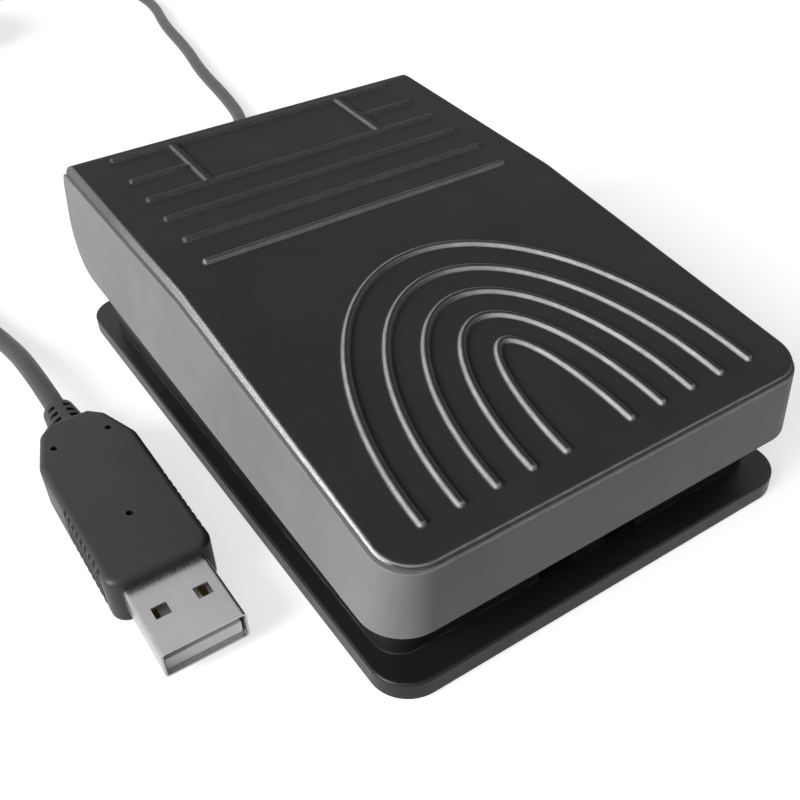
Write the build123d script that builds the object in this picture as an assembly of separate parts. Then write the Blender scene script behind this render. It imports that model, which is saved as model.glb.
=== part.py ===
from build123d import *
import os
from math import atan, cos, floor, pi, sin, sqrt, tan

os.makedirs("parts", exist_ok=True)

# A foot pedal switch with a cord and a USB plug. All lengths are millimetres.
# X runs across the pedal, Y from the toe end (negative) to the cord end, Z up.
# The origin is on the floor, under the middle of the base.

# Whole object
base_half_width = 35.9
base_half_length = 55.0
top_height_rear = 35.76
foot_proud = 0.5
flange_thickness = 2.9
flange_corner = 5.8
flange_edge_round = 0.4

# Pedal: heights are taken from the underside of the base
skirt_overhang = 0.66
side_draft = 2.16
toe_draft = 0.2
pedal_half_width_low = base_half_width + skirt_overhang
pedal_half_width_high = pedal_half_width_low - side_draft
pedal_front_y_high = -base_half_length
pedal_front_y_low = pedal_front_y_high + toe_draft
pedal_corner_low = 6.7
pedal_corner_high = 5.6
rear_ledge = 4.35
pedal_rear_y = base_half_length - rear_ledge
crease_from_rear = 48.65
crease_y = pedal_rear_y - crease_from_rear
crease_fall = 3.33
toe_fall = 12.6
top_height_crease = top_height_rear - crease_fall
top_height_front = top_height_rear - toe_fall
edge_strip_rear = 3.13
edge_strip_crease = 2.11
edge_strip_front = 0.87
seam_height_rear = top_height_rear - edge_strip_rear
seam_height_crease = top_height_crease - edge_strip_crease
seam_height_front = top_height_front - edge_strip_front
side_height_rear = 19.89
side_height_front = 11.59
lower_edge_height_rear = top_height_rear - side_height_rear
lower_edge_height_front = top_height_front - side_height_front
rear_roll_radius = 9.2
rear_top_round = 5.6
skirt_wall = 1.6
plate_inset = 0.38
plate_thickness = 1.6
plate_fit = 0.15
seam_groove = 0.35

# Ribs on the pedal top
rib_width = 0.9
rib_height = 0.48
rib_end_gap = 6.4
rib_half_length = pedal_half_width_high - rib_end_gap
rib_setbacks = (7.25, 15.85, 22.95, 29.95, 37.05, 44.25)
rib_places = [pedal_rear_y - setback for setback in rib_setbacks]
panel_bar_x = 16.8
panel_bar_width = 1.1
panel_bar_gap = 0.5
arch_foot_setback = 5.25
arch_foot_y = pedal_front_y_high + arch_foot_setback
arch_half_widths = (27.6, 22.0, 16.5, 11.0, 5.5)
arch_lengths = (43.2, 37.2, 31.6, 26.2, 20.5)

# Base
flange_side = 2.48
flange_front = 4.9
flange_rear = 7.6
inner_wall_half_width = base_half_width - flange_side
inner_wall_front_y = -base_half_length + flange_front
inner_wall_rear_y = base_half_length - flange_rear
inner_wall_thickness = 1.6
inner_wall_drop = 0.6
inner_wall_corner = 4.0
foot_radius = 5.0
foot_thickness = 1.6
foot_side_inset = 8.4
foot_end_inset = 9.0
foot_x = base_half_width - foot_side_inset
foot_y = base_half_length - foot_end_inset

# Hinge
pin_radius = 1.5
pin_end_proud = 1.0
pin_end_chamfer = 0.3
hinge_running_gap = 0.05
lug_inset = 11.9
lug_inner_x = base_half_width - lug_inset
lug_thickness = 3.0
lug_round = 4.0
lug_foot_front = 10.45
lug_foot_rear = 0.45
ear_gap = 1.0
ear_thickness = 3.0
ear_round = 3.8
ear_top_drop = 1.6

# Return springs
spring_x = 18.0
spring_from_bumper = 16.0
spring_outer_radius = 4.5
spring_wire = 0.9
spring_turns = 8
spring_seat_radius = 5.2
spring_seat_drop = 0.8
spring_spigot_clearance = 0.35
spring_spigot_height = 4.0
spring_upper_spigot_height = 2.5

# Stops
bumper_x = 17.0
bumper_from_wall = 6.1
bumper_y = inner_wall_front_y + bumper_from_wall
spring_y = bumper_y + spring_from_bumper
bumper_radius = 3.6
bumper_top = 15.5
bumper_cap_height = 6.0
post_radius = 2.6
hook_x = 6.0
hook_width = 5.0
hook_thickness = 1.5
hook_leg_from_wall = 3.9
hook_leg_y = inner_wall_front_y + hook_leg_from_wall
hook_reach = 2.9
hook_barb_height = 1.6
hook_gap = 0.25
catch_height = 11.5
window_side_gap = 0.8
catch_bar_height = 2.2
catch_post_width = 1.6

# Screws through the skirt into the top plate
joint_screw_front_inset = 5.2
joint_screw_front_setback = 8.4
joint_screw_rear_inset = 4.4
joint_screw_rear_setback = 30.65
joint_screw_front_x = pedal_half_width_high - joint_screw_front_inset
joint_screw_front_y = pedal_front_y_high + joint_screw_front_setback
joint_screw_rear_x = pedal_half_width_high - joint_screw_rear_inset
joint_screw_rear_y = pedal_rear_y - joint_screw_rear_setback
screw_boss_half = 3.0
screw_boss_height = 3.5
screw_shank_radius = 1.1
screw_head_radius = 2.0
screw_head_height = 1.3
screw_bite = 1.9
screw_slot_width = 0.7
screw_slot_depth = 0.5

# Switch
switch_from_clamp = 8.0
switch_length = 19.8
switch_width = 6.4
switch_height = 10.2
switch_floor_gap = 4.6
switch_cover_thickness = 1.2
switch_wall = 1.0
switch_solid_foot = 3.2
switch_hole_spacing = 9.5
switch_hole_height = 1.65
switch_screw_radius = 1.0
switch_head_radius = 1.7
switch_head_height = 1.1
bracket_thickness = 2.0
bracket_rib = 1.6
bracket_rib_reach = 5.0
lever_thickness = 0.4
lever_width = 3.6
lever_length = 17.0
lever_pivot_from_rear = 1.1
lever_pivot_height = 1.0
lever_roll_radius = 0.6
lever_rise = 1.9
cheek_thickness = 0.6
cheek_gap = 0.3
plunger_radius = 0.9
plunger_from_pivot = 5.0
plunger_foot_radius = 1.4
plunger_tip_radius = 0.35
plunger_tip_length = 0.4
plunger_foot_height = 0.7
presser_from_rear = 16.5
presser_half_width = 2.5
presser_half_depth = 1.6
presser_gap = 0.3
terminal_width = 3.0
terminal_thickness = 0.5
terminal_tail = 3.8
contact_gap = 0.25
blade_drop = 2.0
blade_thickness = 0.25
blade_width = 2.4
blade_length = 13.2

# Cord inside the base
cord_diameter = 3.5
cord_height = 3.5
boot_flange_radius = 3.4
boot_flange_thickness = 1.4
boot_neck_radius = 2.5
boot_tail_radius_in = 3.0
boot_tail_radius_out = 2.45
boot_tail_reach = 5.0
boot_tail_end_y = base_half_length + boot_tail_reach
boot_ring_width = 1.1
boot_ring_gap = 1.3
boot_ring_depth = 0.45
clamp_from_wall = 11.4
clamp_y = inner_wall_rear_y - clamp_from_wall
jacket_end_from_clamp = 4.0
jacket_end_y = clamp_y - jacket_end_from_clamp
switch_rear_y = clamp_y - switch_from_clamp
presser_y = switch_rear_y - presser_from_rear
clamp_half_depth = 2.5
clamp_screw_x = 6.2
clamp_boss_radius = 2.4
clamp_half_width = 8.6
clamp_thickness = 2.2
clamp_boss_height = 4.0
wire_radius = 0.55
wire_spread = 0.85
wire_approach = 5.1

# Plug
plug_from_base = 15.6
plug_x = -base_half_width - plug_from_base
plug_middle_y = -5.1
shell_width = 12.0
shell_height = 4.5
shell_sheet = 0.3
shell_exposed = 12.7
shell_hidden = 6.0
shell_window = 2.2
shell_window_x = 3.0
shell_window_y = 5.9
tongue_thickness = 1.85
tongue_side_gap = 0.3
tongue_setback = 1.0
contact_width = 1.0
contact_thickness = 0.2
contact_pitches = (-3.5, -1.0, 1.0, 3.5)
contact_length = 8.0
body_length = 39.0
body_half_width = 7.8
body_thickness = 8.3
body_neck_half_width = 3.3
body_shoulder_half_width = 5.4
body_shoulder_y = 2.2
body_full_y = 9.5
body_front_corner = 2.4
body_shoulder_round = 1.6
body_edge_round = 1.1
body_hole_radius = 0.6
body_hole_depth = 1.0
body_hole_y = 6.8
body_hole_x = 4.4
body_middle_hole_y = 27.2
grip_count = 9
grip_pitch = 1.7
grip_radius = 0.55
grip_front_gap = 4.2
cavity_half_width = 6.3
cavity_height = 4.9
cavity_length = 24.0
board_thickness = 1.0
board_half_width = 5.6
board_length = 17.0
chip_half_width = 2.5
chip_length = 5.0
chip_height = 1.2
relief_length = 7.1
relief_radius_body = 3.3
relief_radius_end = 2.65
relief_slot_width = 1.1
relief_slot_depth = 1.3
relief_slot_pitch = 1.9
relief_slot_count = 3
relief_spine = 1.4

# Coil that holds the length of cord which is put away
coil_centre = (-34.0, 254.0)
coil_inner_radius = 14.9
coil_pitch = 3.95
coil_layer_turns = (2.5, 2.5, 2.5, 2.75)
tie_width = 6.0
tie_thickness = 0.8
tie_gap = 0.3
bend_share = 0.45

# Slots, holes and cuts run past the solid that they cut by this much
overrun = 1.0

# Joint limits, in degrees
pedal_travel = 4.0

# Worked out places
base_bottom = foot_proud
floor_top = base_bottom + flange_thickness
cord_z = floor_top + cord_height
cord_radius = cord_diameter / 2
half = 1 / 2


def line_height(y, y0, z0, y1, z1):
    return z0 + (z1 - z0) * (y - y0) / (y1 - y0)


def crooked_height(y, front, crease, rear):
    if y < crease_y:
        height = line_height(y, pedal_front_y_high, front, crease_y, crease)
    else:
        height = line_height(y, crease_y, crease, pedal_rear_y, rear)
    return base_bottom + height


def top_z(y):
    return crooked_height(y, top_height_front, top_height_crease, top_height_rear)


def seam_z(y):
    return crooked_height(y, seam_height_front, seam_height_crease, seam_height_rear)


def lower_edge_z(y):
    span = (pedal_front_y_low, lower_edge_height_front, pedal_rear_y, lower_edge_height_rear)
    return base_bottom + line_height(y, *span)


def block(x0, x1, y0, y1, z0, z1):
    solid = Box(x1 - x0, y1 - y0, z1 - z0)
    return Pos((x0 + x1) * half, (y0 + y1) * half, (z0 + z1) * half) * solid


def post(x, y, z0, z1, radius):
    return Pos(x, y, (z0 + z1) * half) * Cylinder(radius, z1 - z0)


def cross_rod(x0, x1, y, z, radius):
    return Pos((x0 + x1) * half, y, z) * Rot(0, 90, 0) * Cylinder(radius, x1 - x0)


def long_rod(x, y0, y1, z, radius):
    return Pos(x, (y0 + y1) * half, z) * Rot(90, 0, 0) * Cylinder(radius, y1 - y0)


def side_prism(points, x0, x1):
    outline = make_face(Polyline(*points, close=True))
    return Pos(x0, 0, 0) * extrude(Plane.YZ * outline, x1 - x0)


def cross_recess(x, y, z0, z1):
    """Cross cut for a driver, seen along Z."""
    arm = screw_head_radius * half
    across = screw_slot_width * half
    along_x = block(x - arm, x + arm, y - across, y + across, z0, z1)
    along_y = block(x - across, x + across, y - arm, y + arm, z0, z1)
    return along_x + along_y


def mirrored(solid):
    return mirror(solid, Plane.YZ)


def both_sides(solid):
    return solid + mirrored(solid)


def save(node, shape):
    export_step(shape, "parts/" + node + ".step")


# Pedal outline, shared by the skirt and the top plate
wide = pedal_half_width_low + overrun
top_span = (pedal_front_y_high, top_height_front, pedal_rear_y, top_height_rear)
crease_chord = line_height(crease_y, *top_span)
crease_bulge = top_height_crease - crease_chord
hinge_y = pedal_rear_y - rear_roll_radius
edge_rise = lower_edge_height_rear - lower_edge_height_front
edge_slope = atan(edge_rise / (pedal_rear_y - pedal_front_y_low))
hinge_z = lower_edge_z(hinge_y) + rear_roll_radius / cos(edge_slope)


def pedal_block(inset):
    """Drafted block with round toe corners, drawn in by inset."""
    tail = pedal_rear_y + rear_roll_radius
    low_front = pedal_front_y_low + inset
    high_front = pedal_front_y_high + inset
    sections = []
    corners = (
        (low_front, lower_edge_z, pedal_half_width_low, pedal_corner_low, -overrun),
        (high_front, top_z, pedal_half_width_high, pedal_corner_high, crease_bulge + overrun),
    )
    for front, height, half_width, corner, shift in corners:
        rise = height(pedal_rear_y) - height(pedal_front_y_high)
        slope = atan(rise / (pedal_rear_y - pedal_front_y_high))
        length = (tail - front) / cos(slope)
        plane = Plane(
            origin=(0, front, height(pedal_front_y_high) + shift),
            x_dir=(1, 0, 0),
            z_dir=(0, -sin(slope), cos(slope)),
        )
        outline = RectangleRounded(2 * (half_width - inset), length, corner - inset)
        sections.append(plane * Pos(0, length * half) * outline)
    return loft(sections)


def profile_prism(inset):
    """Side profile of the pedal, with its round rear, drawn in by inset."""
    rear = pedal_rear_y - inset
    front = pedal_front_y_high - overrun
    low_inset = inset / cos(edge_slope)
    points = [
        (front, lower_edge_z(front) + low_inset),
        (rear, lower_edge_z(rear) + low_inset),
        (rear, top_z(rear)),
        (crease_y, top_z(crease_y)),
        (front, top_z(front)),
    ]
    radii = [0, rear_roll_radius - inset, rear_top_round - inset, 0, 0]
    outline = make_face(FilletPolyline(*points, radius=radii, close=True))
    return Pos(-wide, 0, 0) * extrude(Plane.YZ * outline, 2 * wide)


def below_seam(drop):
    low = base_bottom
    front = pedal_front_y_high - overrun
    rear = pedal_rear_y + overrun
    points = [
        (front, low),
        (rear, low),
        (rear, seam_z(rear) - drop),
        (crease_y, seam_z(crease_y) - drop),
        (front, seam_z(front) - drop),
    ]
    return side_prism(points, -wide, wide)


# Skirt: open frame with the hinge ears and the screw bosses
def screw_places():
    places = []
    for side in (-1, 1):
        places.append((side * joint_screw_front_x, joint_screw_front_y))
        places.append((side * joint_screw_rear_x, joint_screw_rear_y))
    return places


def plate_underside(y):
    return seam_z(y) - plate_thickness


def boss_floor(y):
    """Flat underside of the screw boss at y."""
    return plate_underside(y - screw_boss_half) - screw_boss_height


skirt_outer = pedal_block(0) & profile_prism(0) & below_seam(0)
roll_inner = rear_roll_radius - skirt_wall
lip_y = hinge_y + roll_inner * half
open_front = pedal_front_y_high - overrun
open_foot = block(-wide, wide, open_front, lip_y, base_bottom - overrun, hinge_z)
skirt_room = pedal_block(skirt_wall) & (profile_prism(skirt_wall) + open_foot)
pedal_skirt = skirt_outer - skirt_room

ear_x0 = lug_inner_x + lug_thickness + ear_gap
ear_x1 = ear_x0 + ear_thickness
wall_middle = pedal_rear_y - skirt_wall * half
roll_middle = rear_roll_radius - skirt_wall * half
ear_low_share = 0.5
ear_low_y = hinge_y + roll_middle * sqrt(1 - ear_low_share**2)
ear_low_z = hinge_z - roll_middle * ear_low_share
ear_top_z = plate_underside(hinge_y) - ear_top_drop
ear_points = [
    (hinge_y, hinge_z + ear_round),
    (wall_middle, ear_top_z),
    (wall_middle, hinge_z),
    (ear_low_y, ear_low_z),
    (hinge_y, hinge_z - ear_round),
]
ear = side_prism(ear_points, ear_x0, ear_x1)
ear += cross_rod(ear_x0, ear_x1, hinge_y, hinge_z, ear_round)
pedal_skirt += both_sides(ear)
for x, y in screw_places():
    side = 1 if x > 0 else -1
    outer_x = side * pedal_half_width_low
    inner_x = x - side * screw_boss_half
    boss = block(
        min(inner_x, outer_x),
        max(inner_x, outer_x),
        y - screw_boss_half,
        y + screw_boss_half,
        boss_floor(y),
        seam_z(y + screw_boss_half),
    )
    pedal_skirt += boss & pedal_block(skirt_wall * half) & below_seam(plate_thickness)
    pedal_skirt -= post(x, y, base_bottom, seam_z(y), screw_shank_radius)
bore_radius = pin_radius + hinge_running_gap
ear_bore = cross_rod(ear_x0 - overrun, ear_x1 + overrun, hinge_y, hinge_z, bore_radius)
pedal_skirt -= both_sides(ear_bore)
save("pedal_skirt", pedal_skirt)


# Top plate: creased cover, inner plate, ribs, presser and stop hooks
crown = pedal_block(plate_inset) & profile_prism(plate_inset)
cover = crown - below_seam(-seam_groove)
plate_outline_inset = skirt_wall + plate_fit
inner_plate = pedal_block(plate_outline_inset) & profile_prism(plate_outline_inset)
inner_plate = (inner_plate & below_seam(-seam_groove - overrun)) - below_seam(plate_thickness)
pedal_top = cover + inner_plate


def deck_plane(y, y_low, y_high):
    slope = atan((top_z(y_high) - top_z(y_low)) / (y_high - y_low))
    normal = (0, -sin(slope), cos(slope))
    return Plane(origin=(0, y, top_z(y)), x_dir=(1, 0, 0), z_dir=normal)


def rib(y, x0, x1):
    plane = deck_plane(y, crease_y, pedal_rear_y - rear_top_round)
    bar = Box(x1 - x0, rib_width, 2 * rib_height)
    return plane * Pos((x0 + x1) * half, 0, 0) * bar


for y in rib_places:
    if y == rib_places[1]:
        gap_x = panel_bar_x + panel_bar_width * half
        pedal_top += rib(y, gap_x, rib_half_length)
        pedal_top += rib(y, -rib_half_length, -gap_x - panel_bar_gap)
    else:
        pedal_top += rib(y, -rib_half_length, rib_half_length)
panel_plane = deck_plane(rib_places[2], crease_y, pedal_rear_y - rear_top_round)
panel_length = rib_places[0] - rib_places[2]
panel_bar = Box(panel_bar_width, panel_length, 2 * rib_height)
panel_bar = Pos(panel_bar_x, panel_length * half, 0) * panel_bar
pedal_top += panel_plane * both_sides(panel_bar)
arch_plane = deck_plane(arch_foot_y, pedal_front_y_high, crease_y)
for half_width, length in zip(arch_half_widths, arch_lengths):
    outer = Ellipse(half_width + rib_width * half, length + rib_width * half)
    inner = Ellipse(half_width - rib_width * half, length - rib_width * half)
    keep = Pos(0, length) * Rectangle(2 * (half_width + rib_width), 2 * length)
    arch = extrude(arch_plane * ((outer - inner) & keep), rib_height, both=True)
    pedal_top += arch

# Presser above the switch lever
switch_bottom = floor_top + switch_floor_gap
switch_top = switch_bottom + switch_height
lever_pivot_y = switch_rear_y - lever_pivot_from_rear
lever_pivot_z = switch_top + lever_pivot_height
lever_slope = atan(lever_rise / lever_length)
lever_rise_at_presser = (lever_pivot_y - presser_y) * tan(lever_slope)
presser_bottom = lever_pivot_z + lever_rise_at_presser + lever_thickness + presser_gap
presser = block(
    -presser_half_width,
    presser_half_width,
    presser_y - presser_half_depth,
    presser_y + presser_half_depth,
    presser_bottom,
    seam_z(presser_y) - plate_thickness * half,
)
pedal_top += presser

# Stop hooks reach through the base windows and rest under the catch bar
catch_z = catch_height + base_bottom
barb_top = catch_z - hook_gap
barb_bottom = barb_top - hook_barb_height
for side in (-1, 1):
    x0 = side * hook_x - hook_width * half
    x1 = side * hook_x + hook_width * half
    leg_top = seam_z(hook_leg_y) - plate_thickness * half
    leg = block(x0, x1, hook_leg_y, hook_leg_y + hook_thickness, barb_bottom, leg_top)
    barb_points = [
        (hook_leg_y + hook_thickness, barb_bottom),
        (hook_leg_y, barb_bottom),
        (hook_leg_y - hook_reach, barb_top - hook_barb_height * half),
        (hook_leg_y - hook_reach, barb_top),
        (hook_leg_y + hook_thickness, barb_top),
    ]
    pedal_top += leg + side_prism(barb_points, x0, x1)

# Spring seats under the inner plate
spring_bottom = floor_top
spring_top = plate_underside(spring_y - spring_seat_radius) - spring_seat_drop
spigot_radius = spring_outer_radius - spring_wire - spring_spigot_clearance
seat_top = seam_z(spring_y) - plate_thickness * half
spigot_low = spring_top - spring_upper_spigot_height
for x in (-spring_x, spring_x):
    pedal_top += post(x, spring_y, spring_top, seat_top, spring_seat_radius)
    pedal_top += post(x, spring_y, spigot_low, spring_top, spigot_radius)
for x, y in screw_places():
    pedal_top -= post(x, y, base_bottom, plate_underside(y) + screw_bite, screw_shank_radius)
save("pedal_top", pedal_top)

# Screws that join skirt and top plate, one node
pedal_screws = []
for x, y in screw_places():
    head_top = boss_floor(y)
    screw = post(x, y, head_top, plate_underside(y) + screw_bite, screw_shank_radius)
    screw += post(x, y, head_top - screw_head_height, head_top, screw_head_radius)
    slot_top = head_top - screw_head_height + screw_slot_depth
    screw -= cross_recess(x, y, slot_top - overrun, slot_top)
    pedal_screws.append(screw)
save("pedal_screws", Compound(children=pedal_screws))


# Base shell
base_outline = RectangleRounded(2 * base_half_width, 2 * base_half_length, flange_corner)
base_shell = extrude(Pos(0, 0, base_bottom) * base_outline, flange_thickness)
base_shell = fillet(base_shell.edges().group_by(Axis.Z)[-1], flange_edge_round)
wall_centre_y = (inner_wall_front_y + inner_wall_rear_y) * half
wall_length = inner_wall_rear_y - inner_wall_front_y
wall_top = lower_edge_z(inner_wall_rear_y) - inner_wall_drop
wall_outline = RectangleRounded(2 * inner_wall_half_width, wall_length, inner_wall_corner)
wall_hole = RectangleRounded(
    2 * (inner_wall_half_width - inner_wall_thickness),
    wall_length - 2 * inner_wall_thickness,
    inner_wall_corner - inner_wall_thickness,
)
wall_ring = Pos(0, wall_centre_y, floor_top) * (wall_outline - wall_hole)
inner_wall = extrude(wall_ring, wall_top - floor_top + overrun)
wall_front_end = inner_wall_front_y - overrun
wall_rear_end = inner_wall_rear_y + overrun
under_skirt = [
    (wall_front_end, base_bottom),
    (wall_rear_end, base_bottom),
    (wall_rear_end, lower_edge_z(wall_rear_end) - inner_wall_drop),
    (wall_front_end, lower_edge_z(wall_front_end) - inner_wall_drop),
]
base_shell += inner_wall & side_prism(under_skirt, -wide, wide)

# Catch frames: window posts and bar at the toe end
wall_inner_front = inner_wall_front_y + inner_wall_thickness
bar_top = catch_z + catch_bar_height
window_out = inner_wall_front_y - overrun
window_in = wall_inner_front + overrun
for side in (-1, 1):
    x0 = side * hook_x - hook_width * half - window_side_gap
    x1 = side * hook_x + hook_width * half + window_side_gap
    frame_x0 = x0 - catch_post_width
    frame_x1 = x1 + catch_post_width
    base_shell += block(frame_x0, frame_x1, inner_wall_front_y, wall_inner_front, floor_top, bar_top)
    base_shell -= block(x0, x1, window_out, window_in, floor_top, catch_z)

# Hinge lugs
lug_foot_front_y = hinge_y - lug_foot_front
lug_foot_rear_y = hinge_y - lug_foot_rear
lug_points = [
    (lug_foot_front_y, floor_top),
    (lug_foot_rear_y, floor_top),
    (hinge_y + lug_round * cos(edge_slope), hinge_z),
    (hinge_y - lug_round, hinge_z),
]
lug_x1 = lug_inner_x + lug_thickness
lug = side_prism(lug_points, lug_inner_x, lug_x1)
lug += cross_rod(lug_inner_x, lug_x1, hinge_y, hinge_z, lug_round)
rib_points = [
    (lug_foot_front_y, floor_top),
    (lug_foot_front_y + lug_thickness, floor_top),
    (hinge_y - lug_round * half, hinge_z - lug_round),
    (hinge_y - lug_round, hinge_z - lug_round),
]
lug_rib_x = lug_inner_x - lug_thickness
lug += side_prism(rib_points, lug_rib_x, lug_inner_x)
lug -= cross_rod(lug_rib_x - overrun, lug_x1 + overrun, hinge_y, hinge_z, pin_radius)
base_shell += both_sides(lug)

# Spring spigots and stop posts
bumper_top_z = base_bottom + bumper_top
post_top = bumper_top_z - cord_radius
collar_top = bumper_top_z - bumper_cap_height
spigot_top = floor_top + spring_spigot_height
for side in (-1, 1):
    base_shell += post(side * spring_x, spring_y, floor_top, spigot_top, spigot_radius)
    base_shell += post(side * bumper_x, bumper_y, floor_top, post_top, post_radius)
    base_shell += post(side * bumper_x, bumper_y, floor_top, collar_top, bumper_radius)

# Switch bracket with two ribs
bracket_x = switch_width * half
bracket_x1 = bracket_x + bracket_thickness
bracket_front_y = switch_rear_y - switch_length
bracket = block(bracket_x, bracket_x1, bracket_front_y, switch_rear_y, floor_top, switch_top)
for y in (bracket_front_y, switch_rear_y - bracket_rib):
    rib_face = make_face(
        Polyline(
            (bracket_x1, floor_top),
            (bracket_x1 + bracket_rib_reach, floor_top),
            (bracket_x1, switch_top - bracket_thickness),
            close=True,
        )
    )
    bracket += Pos(0, y + bracket_rib, 0) * extrude(Plane.XZ * rib_face, bracket_rib)
hole_z = switch_bottom + switch_hole_height
switch_middle_y = switch_rear_y - switch_length * half
hole_front = switch_middle_y - switch_hole_spacing * half
hole_places = (hole_front, hole_front + switch_hole_spacing)
for y in hole_places:
    bracket -= cross_rod(-bracket_x, bracket_x1 + overrun, y, hole_z, switch_screw_radius)
base_shell += bracket

# Cord cradle, clamp bosses and the slot for the strain relief
clamp_seat_z = floor_top + clamp_boss_height
clamp_y0 = clamp_y - clamp_half_depth
clamp_y1 = clamp_y + clamp_half_depth
base_shell += block(-clamp_boss_radius, clamp_boss_radius, clamp_y0, clamp_y1, floor_top, cord_z)
for side in (-1, 1):
    base_shell += post(side * clamp_screw_x, clamp_y, floor_top, clamp_seat_z, clamp_boss_radius)
    base_shell -= post(side * clamp_screw_x, clamp_y, floor_top, clamp_seat_z + overrun, screw_shank_radius)
slot_y0 = inner_wall_rear_y - inner_wall_thickness - overrun
slot_y1 = inner_wall_rear_y + overrun
slot_half = boot_neck_radius
base_shell -= long_rod(0, jacket_end_y, slot_y1, cord_z, cord_radius)
base_shell -= block(-slot_half, slot_half, slot_y0, slot_y1, cord_z, wall_top + overrun)
base_shell -= long_rod(0, slot_y0, slot_y1, cord_z, boot_neck_radius)

# Foot pockets
pocket_top = foot_thickness
foot_places = []
for x in (-foot_x, foot_x):
    for y in (-foot_y, foot_y):
        foot_places.append((x, y))
        base_shell -= post(x, y, base_bottom - overrun, pocket_top, foot_radius)
save("base_shell", base_shell)

foot_names = ("foot_front_left", "foot_rear_left", "foot_front_right", "foot_rear_right")
for name, place in zip(foot_names, foot_places):
    foot = post(place[0], place[1], 0, foot_thickness, foot_radius)
    foot = fillet(foot.edges().group_by(Axis.Z)[0], foot_proud * half)
    save(name, foot)

# Hinge pin
pin_half_length = ear_x1 + pin_end_proud
hinge_pin = cross_rod(-pin_half_length, pin_half_length, hinge_y, hinge_z, pin_radius)
hinge_pin = chamfer(hinge_pin.edges().filter_by(GeomType.CIRCLE), pin_end_chamfer)
save("hinge_pin", hinge_pin)

# Stop bumpers: rubber caps on their posts
for name, side in (("stop_bumper_left", -1), ("stop_bumper_right", 1)):
    cap = post(side * bumper_x, bumper_y, collar_top, bumper_top_z, bumper_radius)
    cap = fillet(cap.edges().group_by(Axis.Z)[-1], bumper_radius - post_radius)
    cap -= post(side * bumper_x, bumper_y, collar_top - overrun, post_top, post_radius)
    save(name, cap)


# Wound wire and cord: a tube on arcs through points of an ideal winding
def tangent_at(curve, s):
    step = 1e-4
    return (curve(s + step) - curve(s - step)).normalized()


def wound_path(curve, turns, spans_per_turn, lead=0, ways=None):
    """Arcs through points of the curve; lead is the straight length at each end, along ways."""
    count = round(turns * spans_per_turn)
    edges = []
    first = curve(0)
    last = curve(turns)
    directions = [tangent_at(curve, i / spans_per_turn) for i in range(count + 1)]
    if ways:
        directions[0], directions[-1] = ways
        edges.append(Line(first - directions[0] * lead, first))
    for i in range(count):
        a = curve(i / spans_per_turn)
        b = curve((i + 1) / spans_per_turn)
        ta = directions[i]
        tb = directions[i + 1]
        chord = b - a
        both = ta + tb
        bend = 2 * (1 - ta.dot(tb))
        reach = (-chord.dot(both) + sqrt(chord.dot(both) ** 2 + bend * chord.dot(chord))) / bend
        joint = (a + ta * reach + b - tb * reach) * half
        joint_way = (b - tb * reach - a - ta * reach).normalized()
        edges.append(TangentArc(a, joint, tangent=ta))
        edges.append(TangentArc(joint, b, tangent=joint_way))
    if ways:
        edges.append(Line(last, last + directions[-1] * lead))
    return Wire([edge.edge() for edge in edges])


def round_tube(path, radius):
    start = path.position_at(0)
    way = path.tangent_at(0)
    return sweep(Plane(origin=start, z_dir=way) * Circle(radius), path=path)


def least_gap(curve, turns, diameter):
    """Least clear distance between turns, measured on points of the winding."""
    per_turn = 36
    points = [curve(i / per_turn) for i in range(round(turns * per_turn) + 1)]
    least = diameter * per_turn
    for i in range(len(points)):
        for j in range(i + per_turn * 2 // 3, len(points)):
            least = min(least, (points[i] - points[j]).length)
    return least - diameter


# Return springs
spring_mean_radius = spring_outer_radius - spring_wire * half
spring_height = spring_top - spring_bottom


def spring_curve(side):
    def place(s):
        angle = 2 * pi * s
        rise = (spring_height - spring_wire) / spring_turns
        return Vector(
            side * spring_x + spring_mean_radius * cos(angle),
            spring_y + spring_mean_radius * sin(angle),
            spring_bottom + spring_wire * half + rise * s,
        )

    return place


for name, side in (("return_spring_left", -1), ("return_spring_right", 1)):
    spring = round_tube(wound_path(spring_curve(side), spring_turns, 4), spring_wire * half)
    room = block(
        side * spring_x - spring_seat_radius,
        side * spring_x + spring_seat_radius,
        spring_y - spring_seat_radius,
        spring_y + spring_seat_radius,
        spring_bottom,
        spring_top,
    )
    spring = spring & room
    save(name, spring)
print("spring gap", least_gap(spring_curve(1), spring_turns, spring_wire))

# Switch case: closed on the bracket side, open towards the cover
case_x0 = -switch_width * half + switch_cover_thickness
case_x1 = switch_width * half
case_front = switch_rear_y - switch_length
case = block(case_x0, case_x1, case_front, switch_rear_y, switch_bottom, switch_top)
cavity_floor = switch_bottom + switch_solid_foot
case -= block(
    case_x0 - overrun,
    case_x1 - switch_wall,
    case_front + switch_wall,
    switch_rear_y - switch_wall,
    cavity_floor,
    switch_top - switch_wall,
)
plunger_y = lever_pivot_y - plunger_from_pivot
plunger_bore = plunger_radius + hinge_running_gap
case -= post(0, plunger_y, cavity_floor, switch_top + overrun, plunger_bore)
for y in hole_places:
    case -= cross_rod(case_x0 - overrun, case_x1 + overrun, y, hole_z, switch_screw_radius)
cheek_x0 = lever_width * half + cheek_gap
roll_half = cheek_x0 + cheek_thickness
cheek_round = lever_pivot_height
cheek_y0 = lever_pivot_y - cheek_round
cheek_y1 = lever_pivot_y + cheek_round
cheek_top = lever_pivot_z + cheek_round
for x0, x1 in ((-roll_half, -cheek_x0), (cheek_x0, roll_half)):
    cheek = block(x0, x1, cheek_y0, cheek_y1, switch_top, lever_pivot_z)
    cheek += cross_rod(x0, x1, lever_pivot_y, lever_pivot_z, cheek_round)
    case += cheek & block(case_x0, case_x1, case_front, switch_rear_y, switch_top, cheek_top)
pivot_bore = lever_roll_radius + hinge_running_gap
bore_half = roll_half + overrun
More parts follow.
